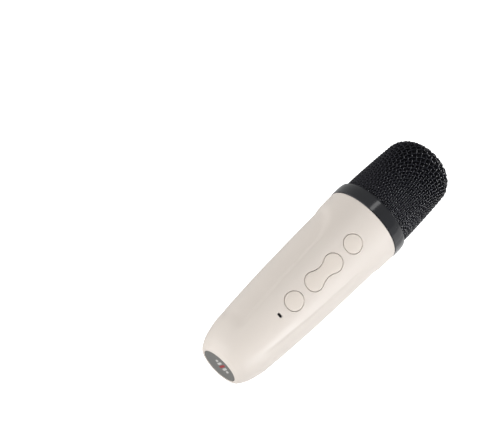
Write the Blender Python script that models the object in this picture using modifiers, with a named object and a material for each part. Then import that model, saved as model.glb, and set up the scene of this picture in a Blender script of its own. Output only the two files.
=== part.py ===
"""Cordless karaoke microphone, stood on its tail.

Frame: origin at the centre of the flat tail, +Z along the handle to the head,
-Y is the side that carries the keys, +X is to the right when the keys face the
viewer. Sizes below are in millimetres and are turned into metres by MM.
"""

import math

import bmesh
import bpy
from mathutils import Matrix

MM = 0.001

# ---------------------------------------------------------------- dimensions
GAP = 0.3                  # clearance between neighbouring pieces
BODY_STEPS = 48            # facets round the handle
RING_STEPS = 40            # facets round the collar and the threaded neck
HEAD_STEPS = 36            # facets round the grille and its seat

SHELL_TOP = 94.1           # shoulder that the collar sits on
# outer line of the handle on its front and back: height, radius
CREST = [(0.0, 9.9), (0.35, 10.6), (1.1, 11.3), (2.6, 12.25), (5.0, 13.45), (10.0, 14.8), (15.0, 15.75),
         (22.0, 16.65), (31.0, 17.4), (42.0, 18.05), (55.0, 18.6), (70.0, 19.05), (84.0, 19.3), (94.1, 19.5)]
# turned surface of the two shallow side panels: height, radius
PANEL = [(9.0, 15.2), (15.0, 15.45), (22.0, 16.15), (31.0, 16.75), (42.0, 17.4), (55.0, 17.9), (70.0, 18.37),
         (88.0, 18.75)]
PANEL_ARCH_TOP = 84.0      # height of the arch over each panel
PANEL_ARCH_RISE = 19.0
PANEL_ARCH_POWER = 2.6     # superellipse, a little squarer than a half ellipse
# half width of each panel below its arch: height, half width
PANEL_WIDTH = [(8.0, 12.9), (20.0, 13.9), (35.0, 14.4), (65.0, 14.7)]
# cavity of the handle: height, radius
CAVITY = [(3.0, 9.8), (5.0, 11.2), (9.0, 12.6), (16.0, 14.1), (30.0, 15.2), (50.0, 16.2), (70.0, 16.8), (86.0, 17.2)]

LABEL_R = 8.9
LABEL_POCKET_R = 9.2
LABEL_POCKET_DEPTH = 0.9
TAIL_FLOOR = 3.0

KEY_R = 4.4                # round keys and the lobes of the volume key
KEY_WAIST = 2.85           # half width of the volume key between its lobes
KEY_LOBE = 6.1             # lobe centre to volume key centre
TOP_KEY_Z = 77.4
ROCKER_Z = 58.5
BOTTOM_KEY_Z = 39.6
LED_Z = 30.4
KEY_PROUD = 0.12           # keys stand this far out of the handle
FLANGE_T = 0.6
ROCKER_PIVOT_Y = -15.2

BOARD_FRONT = -9.9
BOARD_T = 1.2
SWITCH_FRONT = -12.6
PLUNGER_TIP = -13.2

USB_Z = 22.0
CHARGE_SCREW_X = 7.85

NECK_R = 16.9
NECK_TOP = 97.5
THREAD_PITCH = 2.0
THREAD_TURNS = 0.9

COLLAR_BOTTOM = 94.4
# outer line of the collar, bottom to top: height, radius
COLLAR = [(94.4, 19.55), (94.6, 19.72), (98.0, 19.7), (100.2, 19.55), (100.9, 19.38), (101.3, 19.0)]
COLLAR_BORE = 17.95
COLLAR_LEDGE_R = 15.9
COLLAR_LEDGE = (98.9, 99.8)
COLLAR_SEAT_R = 18.42      # pocket that the grille stands in
# outer line of the grille below its dome: height, radius
GRILLE = [(100.1, 18.12), (106.0, 18.08), (112.0, 17.9), (118.0, 17.63), (124.0, 17.33), (130.0, 16.95)]
DOME_START = 130.0
DOME_R = 16.95
HEAD_TOP = 142.4
DOME_POWER = 2.3
MESH_T = 0.8
FOAM_T = 2.4
FOAM_START = 104.4

CELL_R = 7.1
CELL_Y = 2.2
CELL_Z = (34.0, 84.0)
CAPSULE_R = 7.0

# ---------------------------------------------------------------- scene setup
for old in list(bpy.data.objects):
    bpy.data.objects.remove(old, do_unlink=True)

PARTS = bpy.data.collections.new("karaoke_microphone")
CUTTERS = bpy.data.collections.new("cutters")
bpy.context.scene.collection.children.link(PARTS)
bpy.context.scene.collection.children.link(CUTTERS)


def material(name, colour, roughness, metallic=0.0):
    m = bpy.data.materials.new(name)
    m.use_nodes = True
    b = m.node_tree.nodes["Principled BSDF"]
    b.inputs["Base Color"].default_value = (*colour, 1.0)
    b.inputs["Roughness"].default_value = roughness
    b.inputs["Metallic"].default_value = metallic
    m.diffuse_color = (*colour, 1.0)
    return m


CREAM = (0.72, 0.63, 0.56)
KEY_CREAM = (0.74, 0.65, 0.57)


def place(obj, name, colour, roughness, metallic=0.0):
    """Make an object a named part with its own material."""
    obj.name = name
    obj.data.name = name
    for c in list(obj.users_collection):
        c.objects.unlink(obj)
    PARTS.objects.link(obj)
    obj.data.materials.clear()
    obj.data.materials.append(material(name, colour, roughness, metallic))
    return obj


def guide(obj, name):
    """Make an object a hidden cutter."""
    obj.name = name
    for c in list(obj.users_collection):
        c.objects.unlink(obj)
    CUTTERS.objects.link(obj)
    obj.hide_render = True
    obj.display_type = "WIRE"
    return obj


def turned(profile, steps, closed=True):
    """Screw a profile of (radius, height) points about Z. It runs down the outer side, then up the inner one."""
    mesh = bpy.data.meshes.new("turned")
    n = len(profile)
    edges = [(i, i + 1) for i in range(n - 1)] + ([(n - 1, 0)] if closed else [])
    mesh.from_pydata([(r * MM, 0.0, z * MM) for r, z in profile], edges, [])
    obj = bpy.data.objects.new("turned", mesh)
    bpy.context.scene.collection.objects.link(obj)
    s = obj.modifiers.new("Screw", "SCREW")
    s.axis = "Z"
    s.angle = 2.0 * math.pi
    s.steps = steps
    s.render_steps = steps
    s.use_merge_vertices = True
    s.merge_threshold = 0.00002
    s.use_smooth_shade = True
    return obj


def box(lo, hi, bevel=0.0):
    bpy.ops.mesh.primitive_cube_add(size=1.0, location=[(a + b) / 2 * MM for a, b in zip(lo, hi)])
    obj = bpy.context.active_object
    obj.scale = [(b - a) * MM for a, b in zip(lo, hi)]
    bpy.ops.object.transform_apply(location=False, rotation=False, scale=True)
    if bevel:
        b = obj.modifiers.new("Bevel", "BEVEL")
        b.width = bevel * MM
        b.segments = 1
        b.limit_method = "ANGLE"
    return obj


def rod(radius, start, end, axis="Z", sides=24, at=(0.0, 0.0)):
    """Cylinder from start to end along an axis; at gives its two other coordinates."""
    mid = (start + end) / 2
    where = {"X": (mid, at[0], at[1]), "Y": (at[0], mid, at[1]), "Z": (at[0], at[1], mid)}[axis]
    turn = {"X": (0, math.pi / 2, 0), "Y": (math.pi / 2, 0, 0), "Z": (0, 0, 0)}[axis]
    bpy.ops.mesh.primitive_cylinder_add(vertices=sides, radius=radius * MM, depth=abs(end - start) * MM,
                                        location=[c * MM for c in where], rotation=turn)
    return bpy.context.active_object


def boolean(obj, other, operation="DIFFERENCE"):
    b = obj.modifiers.new(operation.title(), "BOOLEAN")
    b.operation = operation
    b.solver = "EXACT"
    b.object = other
    return obj


def cut(obj, cutter, name):
    guide(cutter, name)
    return boolean(obj, cutter, "DIFFERENCE")


def join(obj, other, name):
    guide(other, name)
    return boolean(obj, other, "UNION")


def frozen(obj):
    """A mesh object with the modifiers or curve settings of obj applied; obj is removed."""
    bpy.context.view_layer.update()
    deps = bpy.context.evaluated_depsgraph_get()
    mesh = bpy.data.meshes.new_from_object(obj.evaluated_get(deps))
    bm = bmesh.new()
    bm.from_mesh(mesh)
    bmesh.ops.remove_doubles(bm, verts=bm.verts, dist=0.000002)
    bm.to_mesh(mesh)
    bm.free()
    new = bpy.data.objects.new(obj.name, mesh)
    new.matrix_world = obj.matrix_world.copy()
    bpy.context.scene.collection.objects.link(new)
    bpy.data.objects.remove(obj, do_unlink=True)
    return new


def plate(outline, low, high, axis):
    """Flat outline, extruded from low to high. Axis Y takes (x, z) points, axis X takes (y, z), axis Z takes (x, y)."""
    curve = bpy.data.curves.new("outline", "CURVE")
    curve.dimensions = "2D"
    curve.fill_mode = "BOTH"
    curve.extrude = (high - low) / 2 * MM
    curve.resolution_u = 1
    curve.render_resolution_u = 0
    s = curve.splines.new("POLY")
    s.points.add(len(outline) - 1)
    for p, (u, v) in zip(s.points, outline):
        p.co = (u * MM, v * MM, 0.0, 1.0)
    s.use_cyclic_u = True
    obj = bpy.data.objects.new("outline", curve)
    bpy.context.scene.collection.objects.link(obj)
    mid = (low + high) / 2 * MM
    if axis == "Y":
        obj.matrix_world = Matrix.Translation((0, mid, 0)) @ Matrix.Rotation(math.pi / 2, 4, "X")
    elif axis == "X":
        obj.matrix_world = (Matrix.Translation((mid, 0, 0)) @ Matrix.Rotation(math.pi / 2, 4, "Z")
                            @ Matrix.Rotation(math.pi / 2, 4, "X"))
    else:
        obj.matrix_world = Matrix.Translation((0, 0, mid))
    return frozen(obj)


def wire(points, radius):
    """Insulated lead along a smooth route through the given points."""
    route = smooth_route(points, 3)
    curve = bpy.data.curves.new("wire", "CURVE")
    curve.dimensions = "3D"
    curve.bevel_depth = radius * MM
    curve.bevel_resolution = 1
    curve.use_fill_caps = True
    curve.render_resolution_u = 0
    s = curve.splines.new("POLY")
    s.points.add(len(route) - 1)
    for p, q in zip(s.points, route):
        p.co = (q[0] * MM, q[1] * MM, q[2] * MM, 1.0)
    obj = bpy.data.objects.new("wire", curve)
    bpy.context.scene.collection.objects.link(obj)
    return obj


def smooth_route(points, per):
    """Catmull-Rom points through a list of points, per steps to a span."""
    ext = [points[0]] + list(points) + [points[-1]]
    out = []
    for i in range(1, len(ext) - 2):
        for k in range(per):
            t = k / per
            out.append([0.5 * ((2 * b) + (c - a) * t + (2 * a - 5 * b + 4 * c - d) * t * t
                               + (3 * b - a - 3 * c + d) * t ** 3)
                        for a, b, c, d in zip(ext[i - 1], ext[i], ext[i + 1], ext[i + 2])])
    out.append(list(points[-1]))
    return out


def line(stations, z):
    """Radius at height z on a list of (height, radius) stations."""
    for (z0, r0), (z1, r1) in zip(stations, stations[1:]):
        if z <= z1:
            return r0 + (r1 - r0) * max(0.0, (z - z0) / (z1 - z0))
    return stations[-1][1]


def arc(cx, cy, r, a0, a1, n):
    """n + 1 points on an arc, angles in degrees."""
    return [(cx + r * math.cos(math.radians(a0 + (a1 - a0) * i / n)),
             cy + r * math.sin(math.radians(a0 + (a1 - a0) * i / n))) for i in range(n + 1)]


def lobed_outline(r, waist, lobe, cz, n=9):
    """Two round lobes joined by a drawn-in waist, as (x, z) points."""
    rho = (waist * waist + lobe * lobe - r * r) / (2 * (r - waist))
    far = waist + rho
    a = math.degrees(math.atan2(lobe, far))
    right_fillet = arc(far, 0, rho, 180 + a, 180 - a, n)
    top = arc(0, lobe, r, -a, 180 + a, 2 * n)
    pts = [(x, cz + y) for x, y in right_fillet[:-1] + top]
    left = [(-x, cz + y) for x, y in reversed(right_fillet[1:-1])]
    bottom = [(x, cz + y) for x, y in arc(0, -lobe, r, 180 - a, 360 + a, 2 * n)]
    return pts + left + bottom[:-1]


def round_outline(r, cz, n=32):
    return [(r * math.cos(2 * math.pi * i / n), cz + r * math.sin(2 * math.pi * i / n)) for i in range(n)]


def stadium(half_w, half_h, cz, n=5):
    s = half_w - half_h
    return arc(s, cz, half_h, -90, 90, n) + arc(-s, cz, half_h, 90, 270, n)


def helix_ridge(root_r, tip_r, z0, turns, base, tip, sunk):
    """Thread ridge of trapezium section on a right-hand helix, closed at both ends and run out to nothing wide."""
    bm = bmesh.new()
    sign = 1.0 if tip_r > root_r else -1.0
    n = int(26 * turns)
    rings = []
    for i in range(n + 1):
        t = turns * i / n
        a = 2 * math.pi * t
        z = z0 + THREAD_PITCH * t
        fade = min(1.0, 0.35 + 0.65 * min(i, n - i) / 3.0)
        rr = root_r + (tip_r - root_r) * fade
        section = [(root_r - sign * sunk, -base / 2), (root_r, -base / 2), (rr, -tip / 2), (rr, tip / 2),
                   (root_r, base / 2), (root_r - sign * sunk, base / 2)]
        rings.append([bm.verts.new((r * math.cos(a) * MM, r * math.sin(a) * MM, (z + dz) * MM)) for r, dz in section])
    for a, b in zip(rings, rings[1:]):
        for j in range(len(a)):
            k = (j + 1) % len(a)
            bm.faces.new((a[j], a[k], b[k], b[j]))
    bm.faces.new(rings[0])
    bm.faces.new(list(reversed(rings[-1])))
    bmesh.ops.recalc_face_normals(bm, faces=bm.faces)
    mesh = bpy.data.meshes.new("ridge")
    bm.to_mesh(mesh)
    bm.free()
    obj = bpy.data.objects.new("ridge", mesh)
    bpy.context.scene.collection.objects.link(obj)
    return obj


def joint_empty(name, x, y, z):
    e = bpy.data.objects.new(name, None)
    e.empty_display_size = 0.005
    e.location = (x * MM, y * MM, z * MM)
    PARTS.objects.link(e)
    return e


def hang_on(obj, empty):
    bpy.context.view_layer.update()
    obj.parent = empty
    obj.matrix_parent_inverse = empty.matrix_world.inverted()


# ---------------------------------------------------------------- handle shell
outer = [(r, z) for z, r in reversed(CREST)]
inner = [(r, z) for z, r in CAVITY] + [(17.2, SHELL_TOP)]
shell_profile = (outer + [(LABEL_POCKET_R, 0.0), (LABEL_POCKET_R, LABEL_POCKET_DEPTH), (2.9, LABEL_POCKET_DEPTH),
                          (2.9, 1.9), (1.5, 1.9), (1.5, TAIL_FLOOR)] + inner)
body = place(turned(shell_profile, BODY_STEPS), "body_shell", CREAM, 0.38)


def panel_cutter(side):
    """Everything outside the panel surface, inside the arch-topped outline."""
    ring = [(r, z) for z, r in PANEL]
    profile = [(26.0, PANEL[-1][0]), (26.0, PANEL[0][0])] + ring
    skin = guide(turned(profile, BODY_STEPS), "panel_skin_%s" % ("right" if side > 0 else "left"))
    arch = []
    foot_z = PANEL_ARCH_TOP - PANEL_ARCH_RISE
    for i in range(19):
        a = math.pi * i / 18
        c, h = abs(math.cos(a)) ** (2.0 / PANEL_ARCH_POWER), math.sin(a) ** (2.0 / PANEL_ARCH_POWER)
        arch.append((math.copysign(PANEL_WIDTH[-1][1] * c, math.cos(a)), foot_z + PANEL_ARCH_RISE * h))
    below = list(reversed(PANEL_WIDTH[:-1]))
    arch += [(-w, z) for z, w in below] + [(w, z) for z, w in reversed(below)]
    lo, hi = (3.0, 30.0) if side > 0 else (-30.0, -3.0)
    prism = plate(arch, lo, hi, "X")
    boolean(prism, skin, "INTERSECT")
    return prism


cut(body, panel_cutter(1), "panel_right_cutter")
cut(body, panel_cutter(-1), "panel_left_cutter")
cut(body, plate(round_outline(KEY_R + GAP, TOP_KEY_Z), -25, -10, "Y"), "top_key_hole")
cut(body, plate(round_outline(KEY_R + GAP, BOTTOM_KEY_Z), -25, -10, "Y"), "bottom_key_hole")
cut(body, plate(lobed_outline(KEY_R + GAP, KEY_WAIST + GAP, KEY_LOBE, ROCKER_Z), -25, -10, "Y"), "rocker_hole")
cut(body, plate(stadium(1.5, 0.8, LED_Z), -25, -12, "Y"), "led_slot")
cut(body, plate(stadium(4.85, 1.95, USB_Z), 10, 25, "Y"), "usb_slot")

# ---------------------------------------------------------------- tail label and screw
place(turned([(0, 0.65), (LABEL_R, 0.65), (LABEL_R, 0.25), (LABEL_R - 0.15, 0.12), (0, 0.12)], 48, closed=False),
      "end_label", (0.12, 0.12, 0.125), 0.45)


def cap_screw(name, head_r, head_z, shank_r, tip_z, axis, at, shift=0.0):
    """Pan-head screw. head_z is the outer face, tip_z the far end; the slot is cut across the head."""
    way = 1.0 if tip_z > head_z else -1.0
    t = 0.65
    obj = rod(head_r, head_z, head_z + way * t, axis, 16, at)
    shank = rod(shank_r, head_z + way * t * 0.5, tip_z, axis, 12, at)
    join(obj, shank, name + "_shank")
    lo, hi = sorted((head_z - way * 1.0, head_z + way * 0.3))
    if axis == "Z":
        slot = box((at[0] - head_r - 1, at[1] - 0.25, lo), (at[0] + head_r + 1, at[1] + 0.25, hi))
    else:
        slot = box((at[0] - head_r - 1, lo, at[1] - 0.25), (at[0] + head_r + 1, hi, at[1] + 0.25))
    cut(obj, slot, name + "_slot")
    return place(obj, name, (0.55, 0.55, 0.57), 0.35, 1.0)


cap_screw("end_screw", 2.5, 0.95, 1.1, 6.9, "Z", (0.0, 0.0))

# ---------------------------------------------------------------- inner frame
frame = box((-9.8, -7.9, 21.0), (9.8, -6.4, 86.4))
join(frame, box((-7.0, -7.9, 5.6), (7.0, -6.4, 21.5)), "frame_foot_plate")
join(frame, box((-5.5, -7.4, 3.3), (5.5, 4.0, 6.6)), "frame_foot")
for sx, tag in ((1, "right"), (-1, "left")):
    x0, x1 = sorted((sx * 8.0, sx * 9.5))
    join(frame, box((x0, -7.2, 33.2), (x1, 4.8, 85.0)), "frame_rail_" + tag)
    x0, x1 = sorted((sx * 6.4, sx * 9.3))
    join(frame, box((x0, -7.4, 13.5), (x1, 7.2, 33.0)), "frame_lower_rail_" + tag)
    join(frame, rod(2.1, 84.8, 91.4, "Z", 16, (sx * 9.6, -1.0)), "frame_post_" + tag)
    cut(frame, rod(1.0, 86.6, 95.0, "Z", 12, (sx * 9.6, -1.0)), "frame_post_hole_" + tag)
    cut(frame, rod(0.8, 2.8, 9.0, "Y", 10, (sx * CHARGE_SCREW_X, 26.0)), "frame_rear_hole_" + tag)
    cut(frame, rod(1.6, -9.0, -5.0, "Y", 12, (sx * 3.0, 28.5)), "frame_lead_hole_" + tag)
join(frame, box((-9.1, -7.0, 32.3), (9.1, 5.0, 33.6)), "frame_lower_wall")
join(frame, box((-9.1, -7.1, 84.5), (9.1, 5.1, 86.0)), "frame_upper_wall")
for z, tag in ((70.2, "upper"), (36.5, "lower")):
    for sx, side in ((1, "right"), (-1, "left")):
        if (sx > 0) == (tag == "upper"):
            join(frame, rod(1.9, -8.4, -7.0, "Y", 12, (sx * 7.6, z)), "frame_boss_" + tag)
            cut(frame, rod(1.0, -9.0, -3.0, "Y", 10, (sx * 7.6, z)), "frame_boss_hole_" + tag)
cut(frame, rod(1.4, 2.0, 7.4, "Z", 12), "frame_foot_hole")
place(frame, "inner_frame", (0.09, 0.09, 0.1), 0.6)

# ---------------------------------------------------------------- boards and what they carry
board = box((-10.0, BOARD_FRONT, 24.0), (10.0, BOARD_FRONT + BOARD_T, 88.0))
for sx, z, tag in ((1, 70.2, "upper"), (-1, 36.5, "lower")):
    cut(board, rod(1.4, -12.0, -6.0, "Y", 12, (sx * 7.6, z)), "board_hole_" + tag)
    cap_screw("board_screw_" + tag, 1.9, BOARD_FRONT - GAP - 0.65, 0.7, -4.4, "Y", (sx * 7.6, z))
place(board, "main_board", (0.02, 0.12, 0.06), 0.45)


def tact_switch(name, z):
    """Switch housing on the board, and the plunger that the key above it pushes."""
    housing = box((-3.0, SWITCH_FRONT, z - 3.0), (3.0, BOARD_FRONT - GAP, z + 3.0), 0.25)
    cut(housing, rod(1.95, -14.0, -11.2, "Y", 16, (0.0, z)), name + "_well")
    place(housing, name + "_switch", (0.05, 0.05, 0.055), 0.4)
    plunger = rod(1.6, PLUNGER_TIP, -11.6, "Y", 16, (0.0, z))
    return place(plunger, name + "_plunger", (0.6, 0.58, 0.52), 0.5)


top_plunger = tact_switch("top", TOP_KEY_Z)
up_plunger = tact_switch("volume_up", ROCKER_Z + KEY_LOBE)
down_plunger = tact_switch("volume_down", ROCKER_Z - KEY_LOBE)
bottom_plunger = tact_switch("bottom", BOTTOM_KEY_Z)

place(box((-1.0, -10.95, LED_Z - 0.7), (1.0, BOARD_FRONT - GAP, LED_Z + 0.7)), "status_led", (0.85, 0.8, 0.6), 0.3)
pipe = plate(stadium(1.2, 0.5, LED_Z), -line(CREST, LED_Z) + 0.35, -11.3, "Y")
join(pipe, box((-2.4, -13.2, LED_Z - 1.6), (2.4, -12.4, LED_Z + 1.6)), "pipe_flange")
place(pipe, "light_pipe", (0.04, 0.035, 0.035), 0.15)
place(box((-7.0, -12.0, 43.4), (7.0, BOARD_FRONT - GAP, 48.6), 0.2), "radio_module", (0.62, 0.62, 0.64), 0.3, 1.0)
place(box((-2.5, -11.2, 69.3), (2.5, BOARD_FRONT - GAP, 73.3), 0.15), "controller_chip", (0.03, 0.03, 0.03), 0.5)
place(box((-2.2, -13.2, ROCKER_Z - 1.0), (2.2, BOARD_FRONT - GAP, ROCKER_Z + 1.0), 0.2), "rocker_fulcrum",
      (0.09, 0.09, 0.1), 0.6)

charge = box((-9.2, 7.5, 14.0), (9.2, 8.7, 31.0))
for sx, tag in ((1, "right"), (-1, "left")):
    cut(charge, rod(0.9, 6.0, 10.0, "Y", 12, (sx * CHARGE_SCREW_X, 26.0)), "charge_hole_" + tag)
    cap_screw("charge_board_screw_" + tag, 1.5, 9.65, 0.5, 3.6, "Y", (sx * CHARGE_SCREW_X, 26.0))
place(charge, "charge_board", (0.02, 0.12, 0.06), 0.45)
socket = plate(stadium(4.5, 1.6, USB_Z), 9.0, 16.0, "Y")
cut(socket, plate(stadium(4.15, 1.25, USB_Z), 10.6, 17.0, "Y"), "usb_mouth")
join(socket, box((-3.3, 10.2, USB_Z - 0.35), (3.3, 15.4, USB_Z + 0.35)), "usb_tongue")
place(socket, "usb_c_socket", (0.65, 0.65, 0.67), 0.3, 1.0)

# ---------------------------------------------------------------- battery
place(turned([(0, CELL_Z[1]), (6.4, CELL_Z[1]), (CELL_R, CELL_Z[1] - 0.6), (CELL_R, CELL_Z[0] + 0.6),
              (6.4, CELL_Z[0]), (0, CELL_Z[0])], 32, closed=False), "battery_cell", (0.05, 0.18, 0.4), 0.35)
bpy.data.objects["battery_cell"].location = (0, CELL_Y * MM, 0)
place(box((-5.0, -6.1, 42.0), (5.0, -5.2, 76.0)), "battery_pad", (0.06, 0.06, 0.06), 0.95)

# ---------------------------------------------------------------- threaded neck, deck, capsule
neck = turned([(16.4, NECK_TOP), (NECK_R, NECK_TOP - 0.5), (NECK_R, 87.5), (15.4, 87.5), (15.4, 90.0), (13.0, 90.0),
               (13.0, 91.4), (15.4, 91.4), (15.4, NECK_TOP)], RING_STEPS)
join(neck, helix_ridge(NECK_R, 17.6, 94.95, THREAD_TURNS, 1.0, 0.5, 0.4), "neck_thread")
place(neck, "threaded_neck", (0.04, 0.04, 0.045), 0.45)

deck = turned([(15.1, 93.2), (15.1, 91.7), (2.2, 91.7), (2.2, 93.2)], 40)
for sx, tag in ((1, "right"), (-1, "left")):
    cut(deck, rod(1.4, 90.0, 95.0, "Z", 12, (sx * 9.6, -1.0)), "deck_hole_" + tag)
    cap_screw("deck_screw_" + tag, 1.9, 94.15, 0.7, 87.2, "Z", (sx * 9.6, -1.0))
place(deck, "capsule_deck", (0.06, 0.06, 0.065), 0.55)

place(turned([(8.4, 103.6), (9.0, 102.9), (8.6, 97.0), (7.2, 93.5), (1.6, 93.5), (1.6, 95.5), (7.35, 95.5),
              (7.35, 103.6)], 32), "capsule_boot", (0.03, 0.03, 0.03), 0.85)
place(turned([(0, 104.3), (6.6, 104.3), (CAPSULE_R, 103.9), (CAPSULE_R, 95.8), (0, 95.8)], 32, closed=False),
      "mic_capsule", (0.6, 0.6, 0.62), 0.3, 1.0)

# ---------------------------------------------------------------- leads, held inside all the way
for sx, tag, colour in ((1, "signal", (0.5, 0.03, 0.03)), (-1, "ground", (0.03, 0.03, 0.03))):
    place(wire([(sx * 0.8, 0.0, 95.3), (sx * 0.8, 0.0, 92.4), (sx * 1.4, -2.6, 90.2), (sx * 3.2, -7.0, 89.6),
                (sx * 4.2, -9.9, 89.2), (sx * 4.4, -10.9, 88.0), (sx * 4.4, -10.8, 84.6)], 0.42),
          "capsule_lead_" + tag, colour, 0.5)
    place(wire([(sx * 3.0, 6.4, 84.9), (sx * 3.0, 6.9, 86.2), (sx * 3.0, 5.4, 87.5), (sx * 3.0, 0.0, 87.6),
                (sx * 3.0, -5.6, 87.2), (sx * 3.0, -8.2, 86.9)], 0.45),
          "battery_lead_" + ("positive" if sx > 0 else "negative"), colour, 0.5)
    place(wire([(sx * 3.0, 7.1, 28.5), (sx * 3.0, 4.6, 28.1), (sx * 3.0, 0.0, 27.6), (sx * 3.0, -5.0, 28.3),
                (sx * 3.0, -8.3, 28.5)], 0.45),
          "charge_lead_" + ("positive" if sx > 0 else "negative"), colour, 0.5)

# ---------------------------------------------------------------- keys


def key_skin(name):
    """Turned solid a little larger than the handle, which gives each key its outer face."""
    stations = [(z, r + KEY_PROUD) for z, r in CREST if 20 < z < 93]
    profile = [(0, stations[-1][0])] + [(r, z) for z, r in reversed(stations)] + [(0, stations[0][0])]
    return guide(turned(profile, 90, closed=False), name)


def key(name, outline, flange, front, back, stems, node):
    """Cap whose face follows the handle, with a retaining flange inside and stems down to the switches."""
    obj = plate(outline, -25.0, front + 0.1, "Y")
    boolean(obj, key_skin(name + "_skin"), "INTERSECT")
    join(obj, plate(flange, front, back, "Y"), name + "_flange")
    for i, (r, z, tip) in enumerate(stems):
        join(obj, rod(r, back - 0.2, tip, "Y", 14, (0.0, z)), "%s_stem_%d" % (name, i))
    return place(obj, node, KEY_CREAM, 0.4)


TOP_FLANGE = -15.7
BOTTOM_FLANGE = -14.5
ROCKER_FLANGE = -14.5
top_key = key("top_key", round_outline(KEY_R, TOP_KEY_Z), round_outline(5.2, TOP_KEY_Z, 28), TOP_FLANGE,
              TOP_FLANGE + FLANGE_T, [(1.5, TOP_KEY_Z, PLUNGER_TIP - GAP)], "top_button")
bottom_key = key("bottom_key", round_outline(KEY_R, BOTTOM_KEY_Z), round_outline(5.2, BOTTOM_KEY_Z, 28), BOTTOM_FLANGE,
                 BOTTOM_FLANGE + FLANGE_T, [(1.5, BOTTOM_KEY_Z, PLUNGER_TIP - GAP)], "bottom_button")
rocker = key("rocker", lobed_outline(KEY_R, KEY_WAIST, KEY_LOBE, ROCKER_Z),
             lobed_outline(5.0, KEY_WAIST + 0.6, KEY_LOBE, ROCKER_Z, 6), ROCKER_FLANGE, ROCKER_FLANGE + FLANGE_T,
             [(1.2, ROCKER_Z, PLUNGER_TIP - GAP), (1.5, ROCKER_Z + KEY_LOBE, PLUNGER_TIP - 0.38),
              (1.5, ROCKER_Z - KEY_LOBE, PLUNGER_TIP - 0.38)], "volume_rocker")

# ---------------------------------------------------------------- head
place(turned([(NECK_R - 0.1, 98.6), (NECK_R - 0.1, 97.8), (15.6, 97.8), (15.6, 98.6)], 40), "head_gasket",
      (0.02, 0.02, 0.02), 0.8)

collar_profile = ([(r, z) for z, r in reversed(COLLAR)]
                  + [(COLLAR_BORE, COLLAR_BOTTOM), (COLLAR_BORE, COLLAR_LEDGE[0]), (COLLAR_LEDGE_R, COLLAR_LEDGE[0]),
                     (COLLAR_LEDGE_R, COLLAR_LEDGE[1]), (COLLAR_SEAT_R, COLLAR_LEDGE[1]),
                     (COLLAR_SEAT_R, COLLAR[-1][0])])
collar = turned(collar_profile, RING_STEPS)
join(collar, helix_ridge(COLLAR_BORE, 17.35, 94.95 + THREAD_PITCH / 2, THREAD_TURNS, 1.0, 0.5, 0.4), "collar_thread")
place(collar, "collar_ring", (0.012, 0.012, 0.014), 0.16)


def dome(base_r, top, start, n):
    """Points (radius, height) of the domed end, apex first."""
    pts = []
    for i in range(n, 0, -1):
        a = math.pi / 2 * i / n
        c, s = math.cos(a), math.sin(a)
        r = base_r * max(0.0, c) ** (2.0 / DOME_POWER) if i < n else 0.0
        pts.append((r, start + (top - start) * s ** (2.0 / DOME_POWER)))
    return pts


grille_profile = dome(DOME_R, HEAD_TOP, DOME_START, 6) + [(r, z) for z, r in reversed(GRILLE)]
inner_side = [(r - MESH_T, z) for z, r in GRILLE if z not in (106.0, 112.0, 124.0)]
grille_inner = inner_side + list(reversed(dome(DOME_R - MESH_T, HEAD_TOP - MESH_T, DOME_START, 5)))
place(turned(grille_profile + grille_inner, HEAD_STEPS, closed=False), "grille_mesh", (0.02, 0.02, 0.022), 0.4, 0.6)

foam_clear = MESH_T + 0.4
foam_line = [(z, r - foam_clear) for z, r in GRILLE if z in (106.0, 118.0, 130.0)]
foam_line[0] = (FOAM_START, GRILLE[1][1] - foam_clear)
foam_out = dome(DOME_R - foam_clear, HEAD_TOP - foam_clear, DOME_START, 5) + [(r, z) for z, r in reversed(foam_line)]
foam_in = ([(r - FOAM_T, z) for z, r in foam_line if z in (FOAM_START, 118.0, 130.0)]
           + list(reversed(dome(DOME_R - foam_clear - FOAM_T, HEAD_TOP - foam_clear - FOAM_T, DOME_START, 3))))
place(turned(foam_out + foam_in, 24, closed=False), "grille_foam", (0.03, 0.03, 0.032), 0.95)
place(turned([(16.95, 104.0), (16.95, 100.15), (16.0, 100.15), (16.0, 104.0)], HEAD_STEPS), "mesh_clamp_ring",
      (0.3, 0.3, 0.31), 0.35, 1.0)

# ---------------------------------------------------------------- joint axes
for obj_name, where in (("top_button", (0, 0, TOP_KEY_Z)), ("bottom_button", (0, 0, BOTTOM_KEY_Z))):
    e = joint_empty(obj_name + "_slide_axis", *where)
    hang_on(bpy.data.objects[obj_name], e)
    hang_on(bpy.data.objects[obj_name.split("_")[0] + "_plunger"], e)
hang_on(rocker, joint_empty("rocker_axis", 0, ROCKER_PIVOT_Y, ROCKER_Z))
hang_on(up_plunger, joint_empty("volume_up_axis", 0, 0, ROCKER_Z + KEY_LOBE))
hang_on(down_plunger, joint_empty("volume_down_axis", 0, 0, ROCKER_Z - KEY_LOBE))
head_axis = joint_empty("head_axis", 0, 0, COLLAR_BOTTOM)
for n in ("head_gasket", "collar_ring", "grille_mesh", "grille_foam", "mesh_clamp_ring"):
    hang_on(bpy.data.objects[n], head_axis)
bpy.context.view_layer.update()
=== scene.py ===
"""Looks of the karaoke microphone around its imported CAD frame. Metres; the tail stands on z = 0, -Y carries the keys."""

import math

import bmesh
import bpy
import numpy as np
from mathutils import Matrix, Vector
from mathutils.geometry import delaunay_2d_cdt


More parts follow.
